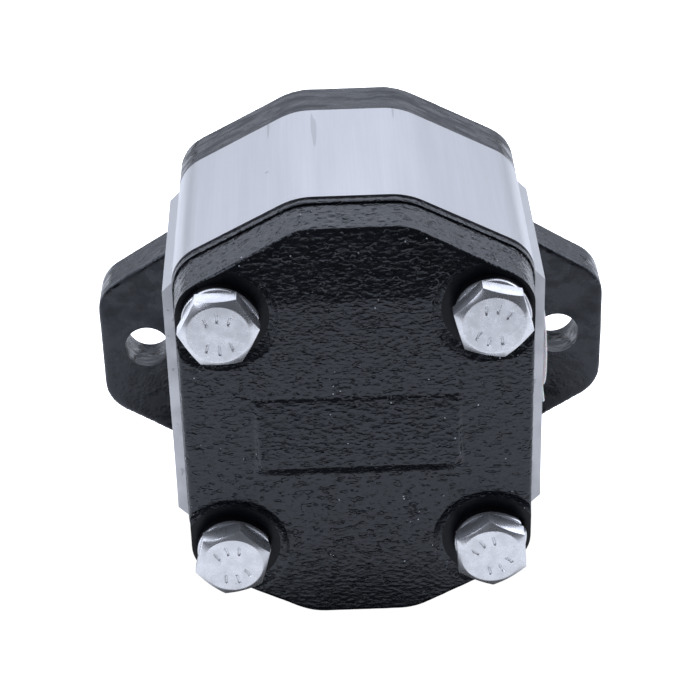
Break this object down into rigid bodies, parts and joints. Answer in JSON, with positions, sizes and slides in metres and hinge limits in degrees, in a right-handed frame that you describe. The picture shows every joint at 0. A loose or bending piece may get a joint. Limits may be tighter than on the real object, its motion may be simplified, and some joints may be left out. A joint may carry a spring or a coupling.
{
  "type": "gear pump",
  "caption": "External gear hydraulic pump: cast mounting flange with pilot and bolt ears, extruded body with side ports, cast rear cover, keyed drive shaft and meshed gears.",
  "frame": {"origin": "where the drive shaft's axis meets the flange's mounting face", "axes": "+Y along the drive shaft to its free end, +Z from the drive gear to the driven gear, +X to the right seen from behind the rear cover"},
  "size_m": [0.13, 0.1194, 0.1178],
  "materials": {
    "flange_casting": "smooth black satin paint on cast iron",
    "cover_casting": "coarse sand-cast surface with black gloss paint",
    "body_extrusion": "mill-finish extrusion with fine lengthwise drawing lines",
    "bolt_steel": "bright zinc plate",
    "washer_steel": "zinc-plated spring steel",
    "gear_steel": "ground case-hardened steel",
    "block_alloy": "machined aluminium alloy",
    "bush_bronze": "sintered bronze with a dull sliding layer",
    "seal_rubber": "moulded nitrile rubber",
    "backup_plastic": "natural nylon",
    "spring_steel": "phosphated spring steel",
    "dowel_steel": "ground steel",
    "plug_plastic": "translucent white polyethylene"
  },
  "bodies": {
    "housing": {"front_flange": "flange_casting", "pump_body": "body_extrusion", "rear_cover": "cover_casting", "front_bearing_block": "block_alloy", "rear_bearing_block": "block_alloy", "front_drive_bush": "bush_bronze", "front_drive_backup_ring": "backup_plastic", "front_driven_bush": "bush_bronze", "front_driven_backup_ring": "backup_plastic", "front_balance_seal": "seal_rubber", "front_body_seal": "seal_rubber", "rear_drive_bush": "bush_bronze", "rear_drive_backup_ring": "backup_plastic", "rear_driven_bush": "bush_bronze", "rear_driven_backup_ring": "backup_plastic", "rear_balance_seal": "seal_rubber", "rear_body_seal": "seal_rubber", "shaft_seal": "seal_rubber", "seal_retaining_ring": "spring_steel", "dowel_1": "dowel_steel", "dowel_2": "dowel_steel", "dowel_3": "dowel_steel", "dowel_4": "dowel_steel", "cover_bolt_1": "bolt_steel", "lock_washer_1": "washer_steel", "cover_bolt_2": "bolt_steel", "lock_washer_2": "washer_steel", "cover_bolt_3": "bolt_steel", "lock_washer_3": "washer_steel", "cover_bolt_4": "bolt_steel", "lock_washer_4": "washer_steel"},
    "drive_shaft": {"drive_gear": "gear_steel"},
    "driven_shaft": {"driven_gear": "gear_steel"},
    "plug": {"port_plug": "plug_plastic"}
  },
  "joints": [
    {"name": "drive_shaft_spin", "type": "hinge", "parent": "housing", "child": "drive_shaft", "pos_m": [0, 0, 0], "axis": [0, 1, 0], "continuous": true},
    {"name": "driven_gear_spin", "type": "hinge", "parent": "housing", "child": "driven_shaft", "pos_m": [0, 0, 0.033], "axis": [0, 1, 0], "continuous": true},
    {"name": "plug_pull", "type": "slide", "parent": "housing", "child": "plug", "axis": [1, 0, 0], "range_m": [0, 0.03]}
  ],
  "couplings": [
    {"joint": "driven_gear_spin", "follows": "drive_shaft_spin", "ratio": -1}
  ]
}
